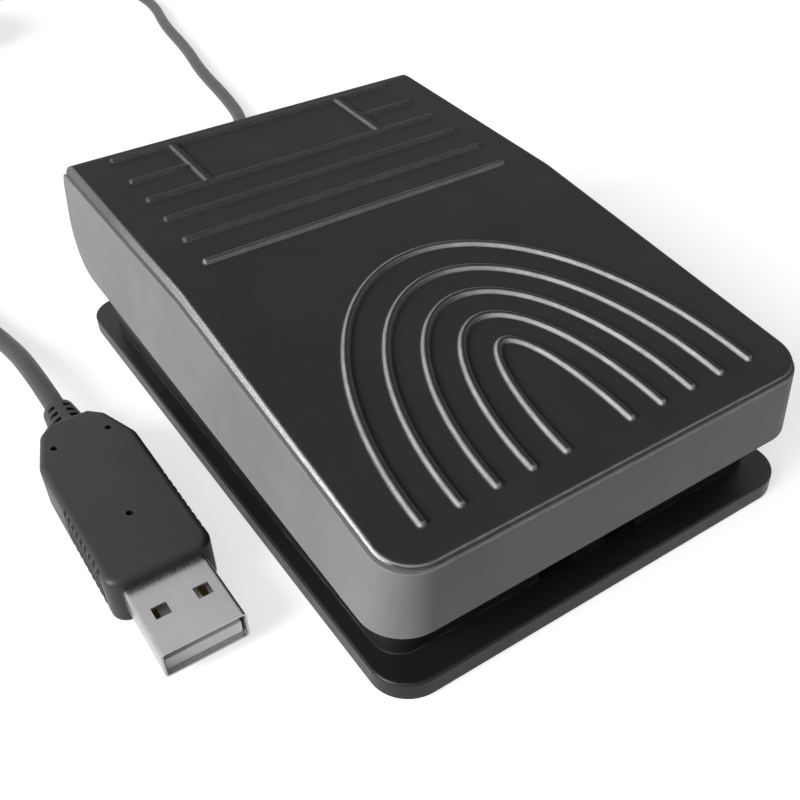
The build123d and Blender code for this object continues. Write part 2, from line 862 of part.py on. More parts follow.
case -= cross_rod(-bore_half, bore_half, lever_pivot_y, lever_pivot_z, pivot_bore)

# Terminals: common at the rear, make contact in the middle, break contact in front
terminal_x = (case_x0 + case_x1 - switch_wall) * half
t0 = terminal_x - terminal_width * half
t1 = terminal_x + terminal_width * half
terminal_low = switch_bottom - terminal_tail
common_y = switch_rear_y - switch_wall - terminal_thickness
make_y = switch_middle_y
break_y = case_front + switch_wall
blade_z = switch_top - switch_wall - plunger_foot_height - blade_drop
blade_pivot_y = common_y - terminal_thickness * half
blade_tip_y = blade_pivot_y - blade_length
make_pad_z = cavity_floor + terminal_thickness
break_arm_z = blade_z + blade_thickness * half + contact_gap
common_top = blade_z + blade_width * half
make_rear = make_y + terminal_thickness
break_top = break_arm_z + terminal_thickness
break_reach = blade_tip_y + terminal_width * half
common = block(t0, t1, common_y, common_y + terminal_thickness, terminal_low, common_top)
make = block(t0, t1, make_y, make_rear, terminal_low, make_pad_z)
make += block(t0, t1, blade_tip_y, make_rear, cavity_floor, make_pad_z)
stop = block(t0, t1, break_y, break_y + terminal_thickness, terminal_low, break_top)
stop += block(t0, t1, break_y, break_reach, break_arm_z, break_top)
for y in (common_y, make_y, break_y):
    case -= block(t0, t1, y, y + terminal_thickness, switch_bottom - overrun, cavity_floor)
save("switch_case", case)
save("switch_terminals", Compound(children=[common, make, stop]))

cover_x = -switch_width * half
cover_plate = block(cover_x, case_x0, case_front, switch_rear_y, switch_bottom, switch_top)
for y in hole_places:
    cover_plate -= cross_rod(cover_x - overrun, case_x0 + overrun, y, hole_z, switch_screw_radius)
save("switch_cover", cover_plate)

# Moving contact blade, hinged on the common terminal
blade = block(
    terminal_x - blade_width * half,
    terminal_x + blade_width * half,
    blade_tip_y,
    blade_pivot_y,
    blade_z - blade_thickness * half,
    blade_z + blade_thickness * half,
)
contact_y = blade_tip_y + blade_width * half
contact_radius = blade_width * half * half
blade += post(terminal_x, contact_y, blade_z - blade_thickness, blade_z, contact_radius)
save("switch_blade", blade)

# Plunger between blade and lever
lever_rise_at_plunger = plunger_from_pivot * tan(lever_slope)
lever_low_at_plunger = lever_pivot_z + lever_rise_at_plunger - lever_thickness * half
plunger_low = blade_z + blade_thickness * half
plunger_high = lever_low_at_plunger - contact_gap * half
foot_low = plunger_low + plunger_tip_length
plunger = post(0, plunger_y, foot_low, plunger_high, plunger_radius)
plunger = fillet(plunger.edges().group_by(Axis.Z)[-1], plunger_radius * half)
plunger += post(0, plunger_y, foot_low, foot_low + plunger_foot_height, plunger_foot_radius)
plunger += post(0, plunger_y, plunger_low, foot_low, plunger_tip_radius)
save("switch_plunger", plunger)

# Lever: strip that rises from its roll over the plunger
strip = Pos(0, -lever_length * half, 0) * Box(lever_width, lever_length, lever_thickness)
lever = Pos(0, lever_pivot_y, lever_pivot_z) * Rot(-lever_slope * 180 / pi, 0, 0) * strip
lever += cross_rod(-roll_half, roll_half, lever_pivot_y, lever_pivot_z, lever_roll_radius)
save("switch_lever", lever)

# Screws that hold the switch on its bracket
switch_screws = []
slot_x = cover_x - switch_head_height
slot_half = screw_slot_width * half
for y in hole_places:
    screw = cross_rod(cover_x, bracket_x1, y, hole_z, switch_screw_radius)
    head = cross_rod(slot_x, cover_x, y, hole_z, switch_head_radius)
    head -= block(
        slot_x - overrun,
        slot_x + screw_slot_depth,
        y - slot_half,
        y + slot_half,
        hole_z - switch_head_radius,
        hole_z + switch_head_radius,
    )
    switch_screws.append(screw + head)
save("switch_screws", Compound(children=switch_screws))

# Strain relief in the rear wall, with its rings
relief_wall_in = inner_wall_rear_y - inner_wall_thickness
boot_front_y = relief_wall_in - boot_flange_thickness
tail_start = inner_wall_rear_y + boot_flange_thickness
cable_boot = long_rod(0, boot_front_y, relief_wall_in, cord_z, boot_flange_radius)
cable_boot += long_rod(0, relief_wall_in, inner_wall_rear_y, cord_z, boot_neck_radius)
cable_boot += long_rod(0, inner_wall_rear_y, tail_start, cord_z, boot_flange_radius)
tail_length = boot_tail_end_y - tail_start
tail = Cone(boot_tail_radius_in, boot_tail_radius_out, tail_length)
cable_boot += Pos(0, tail_start + tail_length * half, cord_z) * Rot(-90, 0, 0) * tail
ring_step = boot_ring_width + boot_ring_gap
ring_count = floor((tail_length - ring_step) / ring_step)
ring_floor = boot_tail_radius_out - boot_ring_depth * half
spine_low = cord_z - boot_flange_radius
spine_high = cord_z + boot_flange_radius
for i in range(ring_count):
    y = tail_start + boot_ring_gap + i * ring_step
    groove = long_rod(0, y, y + boot_ring_width, cord_z, boot_flange_radius)
    groove -= long_rod(0, y, y + boot_ring_width, cord_z, ring_floor)
    groove -= block(-wire_radius, wire_radius, y, y + boot_ring_width, spine_low, spine_high)
    cable_boot -= groove
cable_boot -= long_rod(0, boot_front_y, boot_tail_end_y, cord_z, cord_radius)
save("cable_boot", cable_boot)

cable_tail = long_rod(0, jacket_end_y, boot_tail_end_y, cord_z, cord_radius)
save("cable_tail", cable_tail)

# Clamp bar and its screws
head_low = clamp_seat_z + clamp_thickness
clamp = block(-clamp_half_width, clamp_half_width, clamp_y0, clamp_y1, clamp_seat_z, head_low)
clamp = fillet(clamp.edges().filter_by(Axis.Z), clamp_thickness * half)
clamp -= long_rod(0, clamp_y0 - overrun, clamp_y1 + overrun, cord_z, cord_radius)
clamp_screws = []
for side in (-1, 1):
    x = side * clamp_screw_x
    clamp -= post(x, clamp_y, clamp_seat_z - overrun, head_low + overrun, screw_shank_radius)
    screw = post(x, clamp_y, floor_top, head_low, screw_shank_radius)
    screw += post(x, clamp_y, head_low, head_low + screw_head_height, screw_head_radius)
    slot_low = head_low + screw_head_height - screw_slot_depth
    screw -= cross_recess(x, clamp_y, slot_low, slot_low + overrun)
    clamp_screws.append(screw)
save("cable_clamp", clamp)
save("clamp_screws", Compound(children=clamp_screws))

# Inner wires from the jacket's end to the common and the make terminal
wire_z = terminal_low + terminal_width * half
wire_runs = {
    "wire_common": (
        (wire_spread, jacket_end_y, cord_z),
        (wire_spread, jacket_end_y - 2 * wire_spread, cord_z),
        (terminal_x, common_y + terminal_thickness + 2 * wire_spread, wire_z),
        (terminal_x, common_y + terminal_thickness, wire_z),
    ),
    "wire_signal": (
        (-wire_spread, jacket_end_y, cord_z),
        (-wire_spread, jacket_end_y - 2 * wire_spread, cord_z),
        (t0 - 2 * wire_spread, common_y + 3 * wire_spread, wire_z),
        (t0 - 2 * wire_spread, make_y + wire_approach, wire_z),
        (t0 + wire_spread, make_y + terminal_thickness + 2 * wire_spread, wire_z),
        (t0 + wire_spread, make_y + terminal_thickness, wire_z),
    ),
}
for name, points in wire_runs.items():
    path = FilletPolyline(*points, radius=wire_spread)
    save(name, round_tube(path.wire(), wire_radius))

# Plug, flat on the floor with its axis along Y; the shell's tip is at the low end
plug_length = shell_exposed + body_length + relief_length
tip_y = plug_middle_y - plug_length * half
body_front = tip_y + shell_exposed
body_rear = body_front + body_length
plug_z = body_thickness * half
plug_exit_y = body_rear + relief_length


def at_plug(solid):
    return Pos(plug_x, 0, plug_z) * solid


def tube_box(half_width, half_height, y0, y1):
    return block(-half_width, half_width, y0, y1, -half_height, half_height)


shell = tube_box(shell_width * half, shell_height * half, tip_y, body_front + shell_hidden)
shell = fillet(shell.edges().filter_by(Axis.Y), 2 * shell_sheet)
shell_inner = (shell_width * half - shell_sheet, shell_height * half - shell_sheet)
bore = tube_box(*shell_inner, tip_y - overrun, body_front + shell_hidden + overrun)
bore = fillet(bore.edges().filter_by(Axis.Y), shell_sheet)
shell_hole = shell
shell = shell - bore
window = Pos(0, body_front - shell_window_y, 0) * Box(shell_window, shell_window, 2 * shell_height)
for x in (-shell_window_x, shell_window_x):
    shell -= Pos(x, 0, 0) * window
save("plug_shell", at_plug(shell))

tongue_half = shell_width * half - shell_sheet - tongue_side_gap
tongue_low = -shell_height * half + shell_sheet
tongue_top = tongue_low + tongue_thickness
tongue_front = tip_y + tongue_setback
tongue = block(-tongue_half, tongue_half, tongue_front, body_front, tongue_low, tongue_top)
tongue_root = body_front + shell_hidden
tongue += block(-tongue_half, tongue_half, body_front - overrun, tongue_root, tongue_low, -tongue_low)
contacts = []
for x in contact_pitches:
    contact = block(
        x - contact_width * half,
        x + contact_width * half,
        tongue_front + tongue_setback,
        tongue_front + tongue_setback + contact_length,
        tongue_top - contact_thickness,
        tongue_top + contact_thickness * half,
    )
    tongue -= contact
    contacts.append(contact)
save("plug_tongue", at_plug(tongue))
save("plug_contacts", at_plug(Compound(children=contacts)))

outline_points = [
    (body_neck_half_width, body_rear),
    (body_shoulder_half_width, body_rear - body_shoulder_y),
    (body_half_width, body_rear - body_full_y),
    (body_half_width, body_front),
    (-body_half_width, body_front),
    (-body_half_width, body_rear - body_full_y),
    (-body_shoulder_half_width, body_rear - body_shoulder_y),
    (-body_neck_half_width, body_rear),
]
shoulder_radii = [0, body_shoulder_round, body_full_y * half, body_front_corner]
corner_radii = shoulder_radii + shoulder_radii[::-1]
body_outline = make_face(FilletPolyline(*outline_points, radius=corner_radii, close=True))
overmold = extrude(Pos(0, 0, -body_thickness * half) * body_outline, body_thickness)
rim_edges = overmold.edges().group_by(Axis.Z)
overmold = fillet(rim_edges[0] + rim_edges[-1], body_edge_round)
for side in (-1, 1):
    for i in range(grip_count):
        y = body_front + grip_front_gap + i * grip_pitch
        overmold -= post(side * body_half_width, y, -body_thickness, body_thickness, grip_radius)
hole_list = [
    (body_hole_x, body_rear - body_hole_y),
    (-body_hole_x, body_rear - body_hole_y),
    (0, body_rear - body_middle_hole_y),
]
for x, y in hole_list:
    overmold -= post(x, y, body_thickness * half - body_hole_depth, body_thickness, body_hole_radius)
cavity_end = body_front + cavity_length
overmold -= tube_box(cavity_half_width, cavity_height * half, tongue_root, cavity_end)
overmold -= shell_hole
save("plug_overmold", at_plug(overmold))

board_low = -cavity_height * half
board_end = tongue_root + board_length
chip_low = board_low + board_thickness
board = block(-board_half_width, board_half_width, tongue_root, board_end, board_low, chip_low)
save("plug_board", at_plug(board))
chip_front = tongue_root + board_length * half
chip_box = (-chip_half_width, chip_half_width, chip_front, chip_front + chip_length)
part_front = chip_front - chip_length
part_box = (-chip_half_width, 0, part_front, part_front + chip_length * half)
chips = [
    block(*chip_box, chip_low, chip_low + chip_height),
    block(*part_box, chip_low, chip_low + chip_height * half),
]
save("plug_chips", at_plug(Compound(children=chips)))

# Strain relief of the plug, with slots beside a spine
relief = Rot(-90, 0, 0) * Cone(relief_radius_body, relief_radius_end, relief_length)
relief = Pos(0, body_rear + relief_length * half, 0) * relief
slot_x1 = relief_radius_body
slot_floor = relief_radius_body - relief_slot_depth
spine_x1 = relief_spine * half
for i in range(relief_slot_count):
    y = body_rear + relief_slot_pitch * (i + half)
    slot_end = y + relief_slot_width
    slot = block(-slot_x1, slot_x1, y, slot_end, slot_floor, slot_x1)
    slot -= block(-spine_x1, spine_x1, y, slot_end, 0, slot_x1)
    relief -= slot
    relief -= mirror(slot, Plane.XY)
save("plug_strain_relief", at_plug(relief))

# Coil of spare cord: four layers that spiral in and out
layer_step = coil_pitch
coil_floor = cord_radius + tie_thickness + tie_gap
coil_turns = sum(coil_layer_turns)
coil_outer_radius = coil_inner_radius + coil_pitch * coil_layer_turns[0]
coil_reversals = [
    coil_layer_turns[0],
    coil_layer_turns[0] + coil_layer_turns[1],
    coil_layer_turns[0] + coil_layer_turns[1] + coil_layer_turns[2],
]


def coil_curve(s):
    radius = coil_outer_radius - coil_pitch * min(s, coil_reversals[0])
    radius += coil_pitch * max(0, min(s, coil_reversals[1]) - coil_reversals[0])
    radius -= coil_pitch * max(0, min(s, coil_reversals[2]) - coil_reversals[1])
    radius += coil_pitch * max(0, s - coil_reversals[2])
    height = coil_floor
    for place in coil_reversals:
        climb = max(-half, min(half, 2 * (s - place)))
        height += layer_step * (1 + sin(pi * climb)) * half
    angle = pi * half + 2 * pi * s
    return Vector(coil_centre[0] + radius * cos(angle), coil_centre[1] + radius * sin(angle), height)


coil_ways = (Vector(-1, 0, 0), Vector(0, -1, 0))
coil_path = wound_path(coil_curve, coil_turns, 4, cord_diameter, coil_ways)
save("cord_coil", round_tube(coil_path, cord_radius))
print("coil gap", least_gap(coil_curve, coil_turns, cord_diameter), "coil length", coil_path.length)

# Tie round the turns, on the side nearest the pedal
bundle_out = coil_centre[1] - coil_outer_radius + coil_pitch * half - cord_radius
bundle_inner_radius = coil_inner_radius - cord_radius
bundle_sag = bundle_inner_radius - sqrt(bundle_inner_radius**2 - (tie_width * half) ** 2)
bundle_in = coil_centre[1] - coil_inner_radius + cord_radius + bundle_sag
bundle_top = coil_floor + 3 * layer_step + cord_radius
tie_y0 = bundle_out - tie_gap - tie_thickness
tie_y1 = bundle_in + tie_gap + tie_thickness
tie_top = bundle_top + tie_gap + tie_thickness
tie_x0 = coil_centre[0] - tie_width * half
tie_x1 = coil_centre[0] + tie_width * half
tie = block(tie_x0, tie_x1, tie_y0, tie_y1, 0, tie_top)
tie = fillet(tie.edges().filter_by(Axis.X), cord_radius)
tie_room = block(
    tie_x0 - overrun,
    tie_x1 + overrun,
    tie_y0 + tie_thickness,
    tie_y1 - tie_thickness,
    tie_thickness,
    tie_top - tie_thickness,
)
tie -= fillet(tie_room.edges().filter_by(Axis.X), cord_radius - tie_thickness)
save("coil_tie", tie)

# Free cord: from the pedal to the coil, and from the coil to the plug
coil_first = coil_path.position_at(0)
coil_last = coil_path.position_at(1)
cord_lead_route = [
    (0.0, boot_tail_end_y, cord_z),
    (0.0, boot_tail_end_y + 9.5, cord_z),
    (2.0, boot_tail_end_y + 22.0, 3.1),
    (9.0, boot_tail_end_y + 35.0, cord_radius),
    (21.0, 106.5, cord_radius),
    (31.5, 122.0, cord_radius),
    (35.6, 143.0, cord_radius),
    (38.4, 165.0, cord_radius),
    (43.6, 188.0, cord_radius),
    (47.2, 214.0, cord_radius),
    (53.5, 238.0, cord_radius),
    (54.0, 262.0, cord_radius),
    (42.0, 281.0, cord_radius),
    (21.0, 291.0, cord_radius),
    (-6.0, 286.0, cord_radius + tie_gap),
    (coil_first.X + 12.0, coil_first.Y, coil_first.Z),
    (coil_first.X, coil_first.Y, coil_first.Z),
]
cord_plug_route = [
    (coil_last.X, coil_last.Y, coil_last.Z),
    (coil_last.X, coil_last.Y - 13.0, coil_last.Z),
    (coil_last.X - 1.5, coil_last.Y - 34.0, 6.0),
    (coil_last.X - 5.0, coil_last.Y - 56.0, cord_radius),
    (-62.0, 158.0, cord_radius),
    (-60.5, 126.0, cord_radius),
    (-61.0, 98.0, cord_radius),
    (-57.0, 76.0, cord_radius),
    (-52.9, 57.0, cord_radius),
    (plug_x, 41.0, plug_z),
    (plug_x, plug_exit_y, plug_z),
]


def free_path(name, route):
    """Straight runs joined by arcs as large as the runs beside them allow."""
    points = [Vector(*point) for point in route]
    radii = []
    for before, here, after in zip(points, points[1:], points[2:]):
        turn = (here - before).get_angle(after - here)
        run = min((here - before).length, (after - here).length)
        radii.append(bend_share * run / tan(turn * pi / 360))
    path = FilletPolyline(*points, radius=radii).wire()
    print(name, "length", path.length, "least radius", min(radii))
    return path


for name, route in (("cord_lead", cord_lead_route), ("cord_plug_lead", cord_plug_route)):
    path = free_path(name, route)
    tube = round_tube(path, cord_radius)
    print(name, "volume", tube.volume, "section times length", pi * cord_radius**2 * path.length)
    save(name, tube)

# Ratios of the parts that follow the pedal
travel = pedal_travel * pi / 180
contact_arm = hinge_y - presser_y
lever_arm = lever_pivot_y - presser_y
lever_ratio = contact_arm / lever_arm
plunger_ratio = lever_ratio * plunger_from_pivot
blade_ratio = plunger_ratio / (blade_pivot_y - plunger_y - plunger_tip_radius)
print("hinge", hinge_y, hinge_z)
print("lever pivot", lever_pivot_y, lever_pivot_z, "ratio", lever_ratio)
print("plunger", plunger_y, "ratio mm/rad", plunger_ratio, "travel", plunger_ratio * travel)
print("blade pivot", blade_pivot_y, blade_z, "ratio", blade_ratio)
print("spring", spring_bottom, spring_top)
print("plug exit", plug_x, plug_exit_y, plug_z, "tip", tip_y)
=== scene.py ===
from math import cos, pi, radians, sin

import bmesh
import bpy
from bpy.props import FloatProperty, FloatVectorProperty, IntProperty, PointerProperty
from bpy.types import Operator, Panel, PropertyGroup
from mathutils import Euler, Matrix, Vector


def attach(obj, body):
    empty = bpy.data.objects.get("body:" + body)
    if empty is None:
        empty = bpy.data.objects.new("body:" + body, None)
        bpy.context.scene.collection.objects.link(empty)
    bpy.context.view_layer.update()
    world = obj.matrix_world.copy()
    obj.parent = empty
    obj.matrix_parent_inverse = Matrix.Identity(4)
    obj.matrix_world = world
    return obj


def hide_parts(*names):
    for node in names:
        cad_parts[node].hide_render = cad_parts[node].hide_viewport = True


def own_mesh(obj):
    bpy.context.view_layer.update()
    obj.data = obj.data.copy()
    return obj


bl_info = {
    "name": "Foot pedal switch dressing",
    "version": (1, 0, 0),
    "blender": (4, 5, 0),
    "location": "View3D > Sidebar > Foot Pedal",
    "description": "Finishes, cord and studio for a foot pedal switch with a cord and plug",
    "category": "Object",
}

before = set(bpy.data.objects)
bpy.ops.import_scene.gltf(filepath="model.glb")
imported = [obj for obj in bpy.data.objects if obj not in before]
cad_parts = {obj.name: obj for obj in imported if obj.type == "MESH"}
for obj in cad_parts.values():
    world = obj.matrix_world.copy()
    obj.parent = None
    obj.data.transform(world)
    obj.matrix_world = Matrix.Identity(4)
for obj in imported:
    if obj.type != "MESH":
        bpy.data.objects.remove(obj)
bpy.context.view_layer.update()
MM = 0.001


# Sizes and colours that a user would change

class FinishSettings(PropertyGroup):
    """Colours and small sizes of the main finishes."""

    # Painted sheen: the skirt's grey is much lighter than the deck's black plastic, standing in for the
    # light's sheen on its walls.
    skirt_colour_with_painted_sheen: FloatVectorProperty(
        name="Skirt and base",
        description="Colour of the skirt's satin plastic, of which the base is a darker shade",
        subtype="COLOR",
        size=3,
        min=0,
        max=1,
        default=(0.122, 0.122, 0.123),
    )
    deck_colour: FloatVectorProperty(
        name="Pedal top",
        description="Colour of the pedal top's grained plastic",
        subtype="COLOR",
        size=3,
        min=0,
        max=1,
        default=(0.019, 0.019, 0.0193),
    )
    # Painted highlight: pale colour put on the rib edges and the left rim's round in place of the light's
    # glint on them.
    rib_highlight_colour: FloatVectorProperty(
        name="Rubbed ribs",
        description="Colour of the ribs and the rim where shoes rub them",
        subtype="COLOR",
        size=3,
        min=0,
        max=1,
        default=(0.6, 0.6, 0.6),
    )
    cord_colour: FloatVectorProperty(
        name="Cord",
        description="Colour of the cord's jacket",
        subtype="COLOR",
        size=3,
        min=0,
        max=1,
        default=(0.018, 0.018, 0.019),
    )
    plug_colour: FloatVectorProperty(
        name="Plug body",
        description="Colour of the moulded plug body",
        subtype="COLOR",
        size=3,
        min=0,
        max=1,
        default=(0.018, 0.018, 0.0185),
    )
    deck_grain: FloatProperty(
        name="Deck grain",
        description="Size of one grain of the pedal top's texture",
        default=0.45 * MM,
        min=0.05 * MM,
        unit="LENGTH",
    )
    edge_round: FloatProperty(
        name="Edge round",
        description="Radius of the small rounds on moulded edges",
        default=0.22 * MM,
        min=0,
        unit="LENGTH",
    )


class CordSettings(PropertyGroup):
    """The cord's real sizes."""

    diameter: FloatProperty(
        name="Diameter",
        description="Outer diameter of the cord's jacket",
        default=3.5 * MM,
        min=1 * MM,
        unit="LENGTH",
    )
    length: FloatProperty(
        name="Length",
        description="Length of the cord from the pedal to the plug",
        default=1.8,
        min=0.1,
        unit="LENGTH",
    )
    points_per_turn: IntProperty(
        name="Points a turn",
        description="Control points in each turn of the coil",
        default=16,
        min=12,
    )
    coil_inner_radius: FloatProperty(
        name="Coil radius",
        description="Radius of the innermost turn's centre line",
        default=14.9 * MM,
        min=5 * MM,
        unit="LENGTH",
    )
    coil_pitch: FloatProperty(
        name="Coil pitch",
        description="Distance between neighbouring turns and layers",
        default=3.95 * MM,
        min=3.5 * MM,
        unit="LENGTH",
    )


class StudioSettings(PropertyGroup):
    """Camera and light."""

    lens: FloatProperty(
        name="Lens",
        description="Focal length of the camera in millimetres",
        default=44.544,
        min=10,
    )
    key_strength: FloatProperty(
        name="Key light",
        description="Strength of the low, broad light on the left",
        default=5.8,
        min=0,
    )
    top_strength: FloatProperty(
        name="Overhead light",
        description="Strength of the very broad light from above",
        default=0.4,
        min=0,
    )
    floor_colour: FloatVectorProperty(
        name="Floor",
        description="Colour of the floor",
        subtype="COLOR",
        size=3,
        min=0,
        max=1,
        default=(0.38, 0.38, 0.38),
    )
    floor_glow: FloatProperty(
        name="Floor glow",
        description="Light that the floor adds where it is seen, so that its lit part is plain white",
        default=0.68,
        min=0,
        max=1,
    )


def finishes():
    return bpy.context.scene.pedal_finishes


def cord_sizes():
    return bpy.context.scene.pedal_cord


def studio():
    return bpy.context.scene.pedal_studio


# Node-based materials

def grey(value):
    return (value, value, value)


class Recipe:
    """One node material, with short ways to add what moulded parts need."""

    def __init__(self, name):
        self.material = bpy.data.materials.new(name)
        self.material.use_nodes = True
        self.tree = self.material.node_tree
        self.tree.nodes.clear()
        self.output = self.add("ShaderNodeOutputMaterial")
        self.shader = self.add("ShaderNodeBsdfPrincipled")
        self.link(self.shader, "BSDF", self.output, "Surface")
        self.place = self.add("ShaderNodeTexCoord")

    def add(self, kind, **values):
        node = self.tree.nodes.new(kind)
        for key, value in values.items():
            setattr(node, key, value)
        return node

    def link(self, source, out, target, into):
        self.tree.links.new(source.outputs[out], target.inputs[into])

    def set(self, **values):
        for key, value in values.items():
            self.shader.inputs[key.replace("_", " ")].default_value = value

    def noise(self, size, detail=2.0, roughness=0.5):
        node = self.add("ShaderNodeTexNoise")
        node.inputs["Scale"].default_value = 1 / size
        node.inputs["Detail"].default_value = detail
        node.inputs["Roughness"].default_value = roughness
        self.link(self.place, "Object", node, "Vector")
        return node

    def cells(self, size):
        node = self.add("ShaderNodeTexVoronoi", feature="SMOOTH_F1")
        node.inputs["Scale"].default_value = 1 / size
        self.link(self.place, "Object", node, "Vector")
        return node

    def spread(self, source, out, low, high, start=0.3, end=0.7):
        node = self.add("ShaderNodeMapRange")
        node.inputs["From Min"].default_value = start
        node.inputs["From Max"].default_value = end
        node.inputs["To Min"].default_value = low
        node.inputs["To Max"].default_value = high
        self.link(source, out, node, "Value")
        return node

    def blend(self, factor, out, first, second):
        node = self.add("ShaderNodeMix", data_type="RGBA")
        node.inputs["A"].default_value = (*first, 1)
        node.inputs["B"].default_value = (*second, 1)
        self.link(factor, out, node, "Factor")
        return node

    def combine(self, operation, first, out, second, second_out):
        """Sum, product or larger of two outputs."""
        node = self.add("ShaderNodeMath", operation=operation)
        self.link(first, out, node, 0)
        self.link(second, second_out, node, 1)
        return node

    def times(self, first, out, second, second_out):
        return self.combine("MULTIPLY", first, out, second, second_out)

    def larger(self, first, out, second, second_out):
        return self.combine("MAXIMUM", first, out, second, second_out)

    def paint_wear_and_highlight(self, mask, under, colour):
        """Colour of under, and the plain colour where the mask is one."""
        node = self.add("ShaderNodeMix", data_type="RGBA")
        self.link(mask, "Value", node, "Factor")
        self.link(under, "Result", node, "A")
        node.inputs["B"].default_value = (*colour, 1)
        return node

    def place_along(self):
        """The point's place along X, Y and Z, as separate outputs."""
        node = self.add("ShaderNodeSeparateXYZ")
        self.link(self.place, "Object", node, "Vector")
        return node

    def edge_wear_and_highlight(self, radius, low, high, least=0.2):
        """High where the surface turns sharply, broken up by noise down to least."""
        bevel = self.add("ShaderNodeBevel", samples=6)
        bevel.inputs["Radius"].default_value = radius
        flat = self.add("ShaderNodeNewGeometry")
        turned = self.add("ShaderNodeVectorMath", operation="DOT_PRODUCT")
        self.link(bevel, "Normal", turned, 0)
        self.link(flat, "Normal", turned, 1)
        edge = self.spread(turned, "Value", 1, 0, low, high)
        patchy = self.noise(2.5 * MM, 4)
        patches = self.spread(patchy, "Fac", least, 1, 0.4, 0.62)
        return self.times(edge, "Result", patches, "Result")

    def soft_edges(self, radius):
        """Normal that turns smoothly over the edges, as on rounded mouldings."""
        node = self.add("ShaderNodeBevel", samples=6)
        node.inputs["Radius"].default_value = radius
        return node

    def relief(self, source, out, depth, strength=1.0, under=None):
        node = self.add("ShaderNodeBump")
        node.inputs["Distance"].default_value = depth
        node.inputs["Strength"].default_value = strength
        self.link(source, out, node, "Height")
        if under:
            self.link(under, "Normal", node, "Normal")
        return node

    def finish(self, colour=None, roughness=None, normal=None):
        if colour:
            self.link(colour[0], colour[1], self.shader, "Base Color")
        if roughness:
            self.link(roughness[0], roughness[1], self.shader, "Roughness")
        if normal:
            self.link(normal, "Normal", self.shader, "Normal")
        return self.material


# Pedal top: the round on its ribs, the shine of rubbed places, and the bare panel's place and half size
RIB_ROUND = 0.8 * MM
RUBBED_ROUGHNESS = 0.2
PANEL = (("X", 0.0, 16.0 * MM), ("Y", 35.55 * MM, 7.2 * MM))
PANEL_BORDER = 0.3 * MM


def bare_panel(recipe):
    """One inside the bare panel between the two bars of the pedal top, and nought outside."""
    along = recipe.place_along()
    within = []
    for axis, middle, half_size in PANEL:
        shift = recipe.add("ShaderNodeMath", operation="SUBTRACT")
        recipe.link(along, axis, shift, 0)
        shift.inputs[1].default_value = middle
        distance = recipe.add("ShaderNodeMath", operation="ABSOLUTE")
        recipe.link(shift, "Value", distance, 0)
        within.append(recipe.spread(distance, "Value", 1, 0, half_size, half_size + PANEL_BORDER))
    return recipe.times(within[0], "Result", within[1], "Result")


def painted_rim_highlight(recipe, fine):
    """Painted highlight: a speckled pale strip on the round of the pedal top's left rim, strongest at the
    toe end.
    """
    along = recipe.place_along()
    side = recipe.spread(along, "X", 1, 0, -34.4 * MM, -33.4 * MM)
    toe = recipe.spread(along, "Y", 1, 0.15, -44 * MM, 30 * MM)
    facing = recipe.add("ShaderNodeNewGeometry")
    tilt = recipe.add("ShaderNodeSeparateXYZ")
    recipe.link(facing, "Normal", tilt, "Vector")
    turned = recipe.spread(tilt, "Z", 1, 0, 0.75, 0.96)
    speckle = recipe.spread(fine, "Fac", 0.3, 1, 0.4, 0.6)
    reach = recipe.times(side, "Result", toe, "Result")
    strip = recipe.times(reach, "Value", turned, "Result")
    return recipe.times(strip, "Value", speckle, "Result")


def lighter(colour, factor):
    """The colour times the factor: lighter above one, darker below."""
    return tuple(min(1.0, c * factor) for c in colour)


def satin_plastic(name, colour, smooth=0.30, rough=0.40, worn=(0.09, 0.09, 0.095), shine=0.5):
    """Smooth injection moulded plastic with faint flow marks and rubbed edges."""
    recipe = Recipe(name)
    clouds = recipe.noise(14 * MM, 3)
    tint = recipe.blend(clouds, "Fac", lighter(colour, 0.82), lighter(colour, 1.2))
    edge = recipe.edge_wear_and_highlight(0.35 * MM, 0.75, 0.93)
    colours = recipe.paint_wear_and_highlight(edge, tint, worn)
    smudges = recipe.noise(6 * MM, 5, 0.6)
    gloss = recipe.spread(smudges, "Fac", smooth, rough)
    fine = recipe.noise(0.16 * MM, 2)
    swell = recipe.noise(9 * MM, 1)
    soft = recipe.relief(swell, "Fac", 0.05 * MM, 0.35)
    bump = recipe.relief(fine, "Fac", 0.008 * MM, 0.5, soft)
    recipe.set(Specular_IOR_Level=shine)
    return recipe.finish((colours, "Result"), (gloss, "Result"), bump)


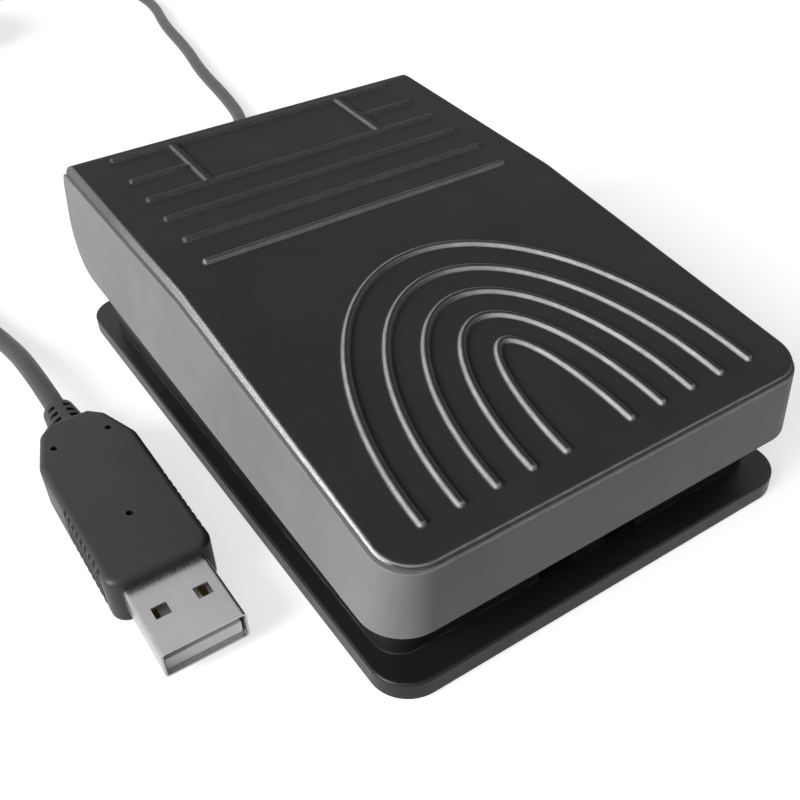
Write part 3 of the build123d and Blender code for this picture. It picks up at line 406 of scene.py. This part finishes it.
def grained_plastic(name, colour):
    """Pedal top: spark-eroded grain, a little shiny on its high points, with painted highlights in pale
    colour on its rib edges and left rim.
    """
    recipe = Recipe(name)
    size = finishes().deck_grain
    grain = recipe.cells(size)
    fine = recipe.noise(size * 0.45, 3, 0.6)
    clouds = recipe.noise(11 * MM, 3)
    tint = recipe.blend(clouds, "Fac", lighter(colour, 0.8), lighter(colour, 1.25))
    # Painted highlight: the rib edges, most at the toe end, and the left rim take a pale colour in place
    # of the light's glint; their lower roughness is real polish.
    edge = recipe.edge_wear_and_highlight(RIB_ROUND, 0.65, 0.94, 0.8)
    toe_highlight_share = recipe.spread(recipe.place_along(), "Y", 1, 0.26, 0, 14 * MM)
    ribs = recipe.times(edge, "Value", toe_highlight_share, "Result")
    pale = recipe.larger(ribs, "Value", painted_rim_highlight(recipe, fine), "Value")
    colours = recipe.paint_wear_and_highlight(pale, tint, finishes().rib_highlight_colour)
    grainy = recipe.spread(fine, "Fac", 0.5, 0.7)
    gloss = recipe.add("ShaderNodeMix", data_type="FLOAT")
    recipe.link(edge, "Value", gloss, "Factor")
    recipe.link(grainy, "Result", gloss, "A")
    gloss.inputs["B"].default_value = RUBBED_ROUGHNESS
    smooth = recipe.larger(bare_panel(recipe), "Value", edge, "Value")
    grain_left = recipe.spread(smooth, "Value", 0.55, 0.08, 0, 1)
    coarse = recipe.relief(grain, "Distance", 0.05 * MM, under=recipe.soft_edges(RIB_ROUND))
    recipe.link(grain_left, "Result", coarse, "Strength")
    bump = recipe.relief(fine, "Fac", 0.03 * MM, 0.6, coarse)
    recipe.set(Specular_IOR_Level=0.05)
    return recipe.finish((colours, "Result"), (gloss, "Result"), bump)


def rubber(name, colour, size=0.5 * MM, rough=(0.55, 0.75)):
    """Matt rubber with dusty patches."""
    recipe = Recipe(name)
    patches = recipe.noise(3 * MM, 4)
    tint = recipe.blend(patches, "Fac", lighter(colour, 0.75), lighter(colour, 1.5))
    gloss = recipe.spread(patches, "Fac", rough[0], rough[1])
    grain = recipe.noise(size, 3)
    bump = recipe.relief(grain, "Fac", 0.03 * MM, 0.5)
    recipe.set(Specular_IOR_Level=0.4)
    return recipe.finish((tint, "Result"), (gloss, "Result"), bump)


def metal(name, colour, smooth, rough, along=None, scratch=0.12 * MM):
    """Plain metal; along stretches the drawing marks down one axis."""
    recipe = Recipe(name)
    marks = recipe.add("ShaderNodeTexNoise")
    marks.inputs["Scale"].default_value = 1 / scratch
    marks.inputs["Detail"].default_value = 4
    stretch = recipe.add("ShaderNodeMapping")
    stretch.inputs["Scale"].default_value = along or (1, 1, 1)
    recipe.link(recipe.place, "Object", stretch, "Vector")
    recipe.link(stretch, "Vector", marks, "Vector")
    stains = recipe.noise(4 * MM, 4)
    tint = recipe.blend(stains, "Fac", lighter(colour, 0.86), lighter(colour, 1.06))
    gloss = recipe.spread(marks, "Fac", smooth, rough)
    bump = recipe.relief(marks, "Fac", 0.01 * MM, 0.4)
    recipe.set(Metallic=1.0)
    return recipe.finish((tint, "Result"), (gloss, "Result"), bump)


def woven_tape(name, colour):
    """Hook tape of the coil tie: a fine plain weave with a soft nap."""
    recipe = Recipe(name)
    threads = []
    for axis in ("X", "Y", "Z"):
        wave = recipe.add("ShaderNodeTexWave", wave_type="BANDS", bands_direction=axis)
        wave.inputs["Scale"].default_value = 1 / (2.4 * MM)
        wave.inputs["Distortion"].default_value = 0.6
        recipe.link(recipe.place, "Object", wave, "Vector")
        threads.append(wave)
    both = recipe.combine("ADD", threads[0], "Fac", threads[1], "Fac")
    all_three = recipe.combine("ADD", both, "Value", threads[2], "Fac")
    tint = recipe.blend(threads[0], "Fac", lighter(colour, 0.6), lighter(colour, 1.7))
    bump = recipe.relief(all_three, "Value", 0.12 * MM, 0.7)
    recipe.set(Roughness=0.85, Sheen_Weight=0.25)
    return recipe.finish((tint, "Result"), None, bump)


def coated_board(name):
    """Green solder lacquer with copper tracks showing faintly through it."""
    recipe = Recipe(name)
    tracks = recipe.add("ShaderNodeTexBrick")
    tracks.inputs["Scale"].default_value = 1 / (6 * MM)
    tracks.inputs["Mortar Size"].default_value = 0.03
    tracks.inputs["Color1"].default_value = (0.012, 0.11, 0.045, 1)
    tracks.inputs["Color2"].default_value = (0.016, 0.14, 0.055, 1)
    tracks.inputs["Mortar"].default_value = (0.05, 0.25, 0.08, 1)
    recipe.link(recipe.place, "Object", tracks, "Vector")
    bump = recipe.relief(tracks, "Fac", 0.03 * MM, 0.5)
    recipe.set(Roughness=0.28)
    return recipe.finish((tracks, "Color"), None, bump)


# Meshes

def show(node, material):
    """Gives a CAD piece its finish."""
    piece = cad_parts[node]
    piece.data.materials.clear()
    piece.data.materials.append(material)


def join_piece(name, mesh, body, material, nodes=()):
    """Adds a mesh or curve to the scene as a piece that rides on a body."""
    piece = bpy.data.objects.new(name, mesh)
    bpy.context.scene.collection.objects.link(piece)
    mesh.materials.append(material)
    if isinstance(mesh, bpy.types.Mesh):
        normals = piece.modifiers.new("flat_faces_stay_flat", "WEIGHTED_NORMAL")
        normals.keep_sharp = True
    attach(piece, body)
    if nodes:
        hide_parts(*nodes)
    return piece


def rounded_copy(node, width, angle=28):
    """Mesh like a CAD piece's, with its sharp edges rounded off by width."""
    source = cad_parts[node].data
    shape = bmesh.new()
    shape.from_mesh(source)
    bmesh.ops.remove_doubles(shape, verts=shape.verts, dist=0.002 * MM)
    bmesh.ops.dissolve_degenerate(shape, edges=shape.edges, dist=0.001 * MM)
    bmesh.ops.dissolve_limit(
        shape, angle_limit=radians(0.6), verts=shape.verts, edges=shape.edges, delimit={"NORMAL"}
    )
    sharp = [e for e in shape.edges if len(e.link_faces) == 2 and e.calc_face_angle(0) > radians(angle)]
    bmesh.ops.bevel(
        shape,
        geom=sharp,
        offset=width,
        offset_type="OFFSET",
        segments=2,
        profile=0.5,
        affect="EDGES",
        clamp_overlap=True,
        miter_outer="ARC",
    )
    for face in shape.faces:
        face.smooth = True
    mesh = bpy.data.meshes.new(node + "_moulding")
    shape.to_mesh(mesh)
    shape.free()
    mesh.set_sharp_from_angle(angle=radians(angle))
    return mesh


# The cord's route, in millimetres; the coil's turns lie between its two halves
BOOT_END = (0.0, 60.0, 6.9)
LEAD_ROUTE = (
    BOOT_END,
    (0.0, 69.5, 6.9),
    (2.0, 82.0, 3.1),
    (9.0, 95.0, 1.75),
    (21.0, 106.5, 1.75),
    (31.5, 122.0, 1.75),
    (35.6, 143.0, 1.75),
    (38.4, 165.0, 1.75),
    (43.6, 188.0, 1.75),
    (47.2, 214.0, 1.75),
    (53.5, 238.0, 1.75),
    (54.0, 262.0, 1.75),
    (42.0, 281.0, 1.75),
    (21.0, 291.0, 1.75),
    (-6.0, 286.0, 2.05),
    (-18.5, 278.775, 2.85),
)
COIL_CENTRE = (-34.0, 254.0)
COIL_LAYER_TURNS = (2.5, 2.5, 2.5, 2.75)
COIL_FLOOR = 2.85
PLUG_LEAD_ROUTE = (
    (-59.763, 237.5, 14.7),
    (-61.263, 216.5, 6.0),
    (-64.763, 194.5, 1.75),
    (-62.0, 158.0, 1.75),
    (-60.5, 126.0, 1.75),
    (-61.0, 98.0, 1.75),
    (-57.0, 76.0, 1.75),
    (-52.9, 57.0, 1.75),
    (-51.5, 41.0, 4.15),
    (-51.5, 24.3, 4.15),
)


def coil_points():
    """Control points of the put-away turns: four layers that spiral in and out."""
    sizes = cord_sizes()
    pitch = sizes.coil_pitch / MM
    inner = sizes.coil_inner_radius / MM
    per_turn = sizes.points_per_turn
    reversals = [sum(COIL_LAYER_TURNS[: i + 1]) for i in range(3)]
    turns = sum(COIL_LAYER_TURNS)
    outer = inner + pitch * COIL_LAYER_TURNS[0]
    bulge = 1 / cos(pi / per_turn)
    points = []
    for i in range(round(turns * per_turn) + 1):
        s = i / per_turn
        radius = outer - pitch * min(s, reversals[0])
        radius += pitch * max(0, min(s, reversals[1]) - reversals[0])
        radius -= pitch * max(0, min(s, reversals[2]) - reversals[1])
        radius += pitch * max(0, s - reversals[2])
        height = COIL_FLOOR
        for place in reversals:
            climb = max(-0.5, min(0.5, 2 * (s - place)))
            height += pitch * (1 + sin(pi * climb)) / 2
        angle = pi / 2 + 2 * pi * s
        points.append(
            (
                COIL_CENTRE[0] + bulge * radius * cos(angle),
                COIL_CENTRE[1] + bulge * radius * sin(angle),
                height,
            )
        )
    return points


CAMERA_PLACE = (-72.235, -117.492, 107.152)
CAMERA_TURN_DEG = (51.7148, 2.0116, -33.5437)


class FOOTPEDAL_OT_camera(Operator):
    """Place the camera at the viewing angle of the picture"""

    bl_idname = "footpedal.camera"
    bl_label = "Camera"

    def execute(self, context):
        data = bpy.data.cameras.new("camera")
        data.lens = studio().lens
        data.sensor_width = 36
        data.clip_start = 0.01
        camera = bpy.data.objects.new("camera", data)
        camera.location = Vector(CAMERA_PLACE) * MM
        camera.rotation_euler = Euler([radians(turn) for turn in CAMERA_TURN_DEG])
        context.scene.collection.objects.link(camera)
        context.scene.camera = camera
        return {"FINISHED"}


class FOOTPEDAL_OT_cord(Operator):
    """Lay the cord from the pedal through its coil to the plug"""

    bl_idname = "footpedal.cord"
    bl_label = "Cord"

    def execute(self, context):
        sizes = cord_sizes()
        points = [*LEAD_ROUTE, *coil_points(), *PLUG_LEAD_ROUTE]
        curve = bpy.data.curves.new("cord", "CURVE")
        curve.dimensions = "3D"
        curve.bevel_depth = sizes.diameter / 2
        curve.bevel_resolution = 6
        curve.use_fill_caps = True
        spline = curve.splines.new("NURBS")
        spline.points.add(len(points) - 1)
        for point, place in zip(spline.points, points):
            point.co = (*(Vector(place) * MM), 1)
        spline.order_u = 3
        spline.use_endpoint_u = True
        spline.resolution_u = 6
        jacket = rubber("cord_jacket", finishes().cord_colour, 0.25 * MM, (0.36, 0.48))
        nodes = ("cord_lead", "cord_coil", "cord_plug_lead")
        piece = join_piece("cord", curve, "base", jacket, nodes)
        return {"FINISHED"}


class FOOTPEDAL_OT_pedal(Operator):
    """Finish the pedal's top and skirt"""

    bl_idname = "footpedal.pedal"
    bl_label = "Pedal"

    def execute(self, context):
        width = finishes().edge_round
        deck = grained_plastic("deck_plastic", finishes().deck_colour)
        # The skirt's light grey is painted sheen.
        skirt = satin_plastic("skirt_plastic", finishes().skirt_colour_with_painted_sheen, 0.40, 0.50, grey(0.34), 0.1)
        for node, round_by, slot, plastic in (
            ("pedal_top", width * 1.3, "textured_black_plastic", deck),
            ("pedal_skirt", width, "satin_black_plastic", skirt),
        ):
            join_piece(node + "_moulding", rounded_copy(node, round_by), "pedal", plastic, (node,))
        return {"FINISHED"}


# Share of the skirt's colour that the base has: painted shade, which keeps the base near black as it looks
# in the pedal's shadow
BASE_PAINTED_SHADE = 0.07


class FOOTPEDAL_OT_base(Operator):
    """Finish the base and the cord clamp"""

    bl_idname = "footpedal.base"
    bl_label = "Base"

    def execute(self, context):
        darker = lighter(finishes().skirt_colour_with_painted_sheen, BASE_PAINTED_SHADE)
        plastic = satin_plastic("base_plastic", darker, 0.3, 0.42, shine=0.2)
        show("base_shell", plastic)
        show("cable_clamp", plastic)
        return {"FINISHED"}


class FOOTPEDAL_OT_rubber_parts(Operator):
    """Finish the feet, bumpers and strain relief"""

    bl_idname = "footpedal.rubber_parts"
    bl_label = "Rubber parts"

    def execute(self, context):
        feet = rubber("foot_rubber", grey(0.02))
        for side in ("left", "right"):
            for node in ("foot_front_", "foot_rear_", "stop_bumper_"):
                show(node + side, feet)
        sleeve = rubber("relief_rubber", grey(0.02), 0.3 * MM, (0.4, 0.55))
        show("cable_boot", sleeve)
        show("cable_tail", sleeve)
        return {"FINISHED"}


class FOOTPEDAL_OT_hardware(Operator):
    """Finish the pin, the springs and the screws"""

    bl_idname = "footpedal.hardware"
    bl_label = "Hardware"

    def execute(self, context):
        ground = metal("ground_steel", (0.62, 0.62, 0.63), 0.18, 0.34, (0.04, 1, 1))
        drawn = metal("drawn_wire", (0.5, 0.5, 0.52), 0.22, 0.38)
        zinc = metal("black_zinc", (0.16, 0.16, 0.17), 0.3, 0.5)
        show("hinge_pin", ground)
        show("switch_lever", ground)
        for side in ("left", "right"):
            self.add_spring("return_spring_" + side, drawn)
        for node in ("pedal_screws", "clamp_screws", "switch_screws"):
            show(node, zinc)
        return {"FINISHED"}

    def add_spring(self, node, material):
        """Adds a return spring on a mesh of its own."""
        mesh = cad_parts[node].data.copy()
        mesh.name = node + "_wire"
        mesh.materials.clear()
        spring = join_piece(node + "_wire", mesh, "base", material, (node,))
        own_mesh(spring)


class FOOTPEDAL_OT_switch(Operator):
    """Finish the switch and its wires"""

    bl_idname = "footpedal.switch"
    bl_label = "Switch"

    def execute(self, context):
        case = satin_plastic("switch_plastic", grey(0.02), 0.45, 0.6)
        show("switch_case", case)
        show("switch_cover", case)
        ivory = satin_plastic("plunger_plastic", (0.7, 0.66, 0.58), 0.35, 0.45, (0.75, 0.72, 0.66))
        show("switch_plunger", ivory)
        brass = metal("rolled_brass", (0.72, 0.53, 0.26), 0.25, 0.4)
        show("switch_blade", brass)
        show("switch_terminals", brass)
        for node, name, colour, worn in (
            ("wire_common", "red_insulation", (0.42, 0.02, 0.02), (0.5, 0.06, 0.06)),
            ("wire_signal", "white_insulation", (0.72, 0.72, 0.7), (0.8, 0.8, 0.78)),
        ):
            show(node, satin_plastic(name, colour, 0.3, 0.4, worn))
        return {"FINISHED"}


class FOOTPEDAL_OT_plug(Operator):
    """Finish the plug: body, relief, shell, tongue and what it holds"""

    bl_idname = "footpedal.plug"
    bl_label = "Plug"

    def execute(self, context):
        colour = finishes().plug_colour
        body = satin_plastic("plug_plastic", colour, 0.42, 0.55, (0.1, 0.1, 0.105), 0.28)
        show("plug_overmold", body)
        show("plug_strain_relief", body)
        show("plug_shell", metal("nickel_plate", (0.42, 0.42, 0.43), 0.24, 0.38, (1, 0.08, 1)))
        tongue = satin_plastic("tongue_plastic", (0.78, 0.78, 0.76), 0.35, 0.45, (0.85, 0.85, 0.83))
        show("plug_tongue", tongue)
        show("plug_contacts", metal("gold_plate", (0.85, 0.62, 0.28), 0.16, 0.28))
        show("plug_board", coated_board("board_lacquer"))
        show("plug_chips", satin_plastic("chip_epoxy", grey(0.025), 0.4, 0.6))
        show("coil_tie", woven_tape("tie_tape", grey(0.025)))
        return {"FINISHED"}


# Where each light stands, and how broad it is in degrees
KEY_FROM = (-1.0, -0.05, 0.5)
KEY_BREADTH = 36
OVERHEAD_FROM = (-0.45, -0.1, 1.2)
OVERHEAD_BREADTH = 70
FLOOR_REACH = 3.0
# Light of the surroundings on the left and on the right
LEFT_SKY = 0.95
RIGHT_SKY = 0.08


def seen_rays(tree):
    """One for the rays that show a thing directly, in gloss or through glass, and nought for its light."""
    rays = tree.nodes.new("ShaderNodeLightPath")
    seen = rays.outputs["Is Camera Ray"]
    for kind in ("Is Glossy Ray", "Is Transmission Ray"):
        either = tree.nodes.new("ShaderNodeMath")
        either.operation = "MAXIMUM"
        tree.links.new(seen, either.inputs[0])
        tree.links.new(rays.outputs[kind], either.inputs[1])
        seen = either.outputs["Value"]
    return seen


class FOOTPEDAL_OT_stage(Operator):
    """Add the floor, the soft lights and the pale surroundings"""

    bl_idname = "footpedal.stage"
    bl_label = "Stage"

    def execute(self, context):
        self.add_floor(context)
        self.add_light(context, "key_light", KEY_FROM, KEY_BREADTH, studio().key_strength)
        self.add_light(context, "overhead_light", OVERHEAD_FROM, OVERHEAD_BREADTH, studio().top_strength)
        self.set_world(context)
        context.scene.view_settings.view_transform = "Standard"
        return {"FINISHED"}

    def add_floor(self, context):
        reach = FLOOR_REACH
        mesh = bpy.data.meshes.new("floor")
        corners = [(-reach, -reach, 0), (reach, -reach, 0), (reach, reach, 0), (-reach, reach, 0)]
        mesh.from_pydata(corners, [], [(0, 1, 2, 3)])
        floor = bpy.data.objects.new("floor", mesh)
        recipe = Recipe("floor_paper")
        recipe.set(Base_Color=(*studio().floor_colour, 1), Roughness=0.9, Specular_IOR_Level=0.1)
        recipe.set(Emission_Color=(1, 1, 1, 1))
        glow = recipe.add("ShaderNodeMath", operation="MULTIPLY")
        recipe.tree.links.new(seen_rays(recipe.tree), glow.inputs[0])
        glow.inputs[1].default_value = studio().floor_glow
        recipe.link(glow, "Value", recipe.shader, "Emission Strength")
        mesh.materials.append(recipe.finish())
        context.scene.collection.objects.link(floor)

    def add_light(self, context, name, place, spread, strength):
        """Adds a far, broad lamp that shines from the side of place."""
        data = bpy.data.lights.new(name, "SUN")
        data.angle = radians(spread)
        data.energy = strength
        light = bpy.data.objects.new(name, data)
        light.location = place
        light.rotation_euler = (-Vector(place)).to_track_quat("-Z", "Y").to_euler()
        context.scene.collection.objects.link(light)

    def set_world(self, context):
        """Surroundings whose light fades to the right, and which are plain white where seen."""
        world = bpy.data.worlds.new("surroundings")
        world.use_nodes = True
        tree = world.node_tree
        tree.nodes.clear()
        place = tree.nodes.new("ShaderNodeTexCoord")
        split = tree.nodes.new("ShaderNodeSeparateXYZ")
        tree.links.new(place.outputs["Generated"], split.inputs["Vector"])
        across = tree.nodes.new("ShaderNodeMapRange")
        tree.links.new(split.outputs["X"], across.inputs["Value"])
        across.inputs["From Min"].default_value = -1
        across.inputs["From Max"].default_value = 0.1
        across.inputs["To Min"].default_value = LEFT_SKY
        across.inputs["To Max"].default_value = RIGHT_SKY
        white_where_seen = tree.nodes.new("ShaderNodeMath")
        white_where_seen.operation = "MAXIMUM"
        tree.links.new(across.outputs["Result"], white_where_seen.inputs[0])
        tree.links.new(seen_rays(tree), white_where_seen.inputs[1])
        background = tree.nodes.new("ShaderNodeBackground")
        tree.links.new(white_where_seen.outputs["Value"], background.inputs["Color"])
        output = tree.nodes.new("ShaderNodeOutputWorld")
        tree.links.new(background.outputs["Background"], output.inputs["Surface"])
        context.scene.world = world


class FOOTPEDAL_PT_panel(Panel):
    """Lists the steps that dress the foot pedal"""

    bl_label = "Foot Pedal"
    bl_idname = "FOOTPEDAL_PT_panel"
    bl_space_type = "VIEW_3D"
    bl_region_type = "UI"
    bl_category = "Foot Pedal"

    def draw(self, context):
        column = self.layout.column()
        for group in (finishes(), cord_sizes(), studio()):
            for key in group.bl_rna.properties.keys():
                if key not in ("rna_type", "name"):
                    column.prop(group, key)
        for step in STEPS:
            column.operator(step.bl_idname)


STEPS = (
    FOOTPEDAL_OT_camera,
    FOOTPEDAL_OT_cord,
    FOOTPEDAL_OT_pedal,
    FOOTPEDAL_OT_base,
    FOOTPEDAL_OT_rubber_parts,
    FOOTPEDAL_OT_hardware,
    FOOTPEDAL_OT_switch,
    FOOTPEDAL_OT_plug,
    FOOTPEDAL_OT_stage,
)
GROUPS = (FinishSettings, CordSettings, StudioSettings)


def register():
    for group in (*GROUPS, *STEPS, FOOTPEDAL_PT_panel):
        bpy.utils.register_class(group)
    bpy.types.Scene.pedal_finishes = PointerProperty(type=FinishSettings)
    bpy.types.Scene.pedal_cord = PointerProperty(type=CordSettings)
    bpy.types.Scene.pedal_studio = PointerProperty(type=StudioSettings)


def unregister():
    del bpy.types.Scene.pedal_studio
    del bpy.types.Scene.pedal_cord
    del bpy.types.Scene.pedal_finishes
    for group in reversed((*GROUPS, *STEPS, FOOTPEDAL_PT_panel)):
        bpy.utils.unregister_class(group)


def main():
    register()
    for step in STEPS:
        family, action = step.bl_idname.split(".")
        getattr(getattr(bpy.ops, family), action)()
    bpy.context.view_layer.update()


if __name__ == "__main__":
    main()
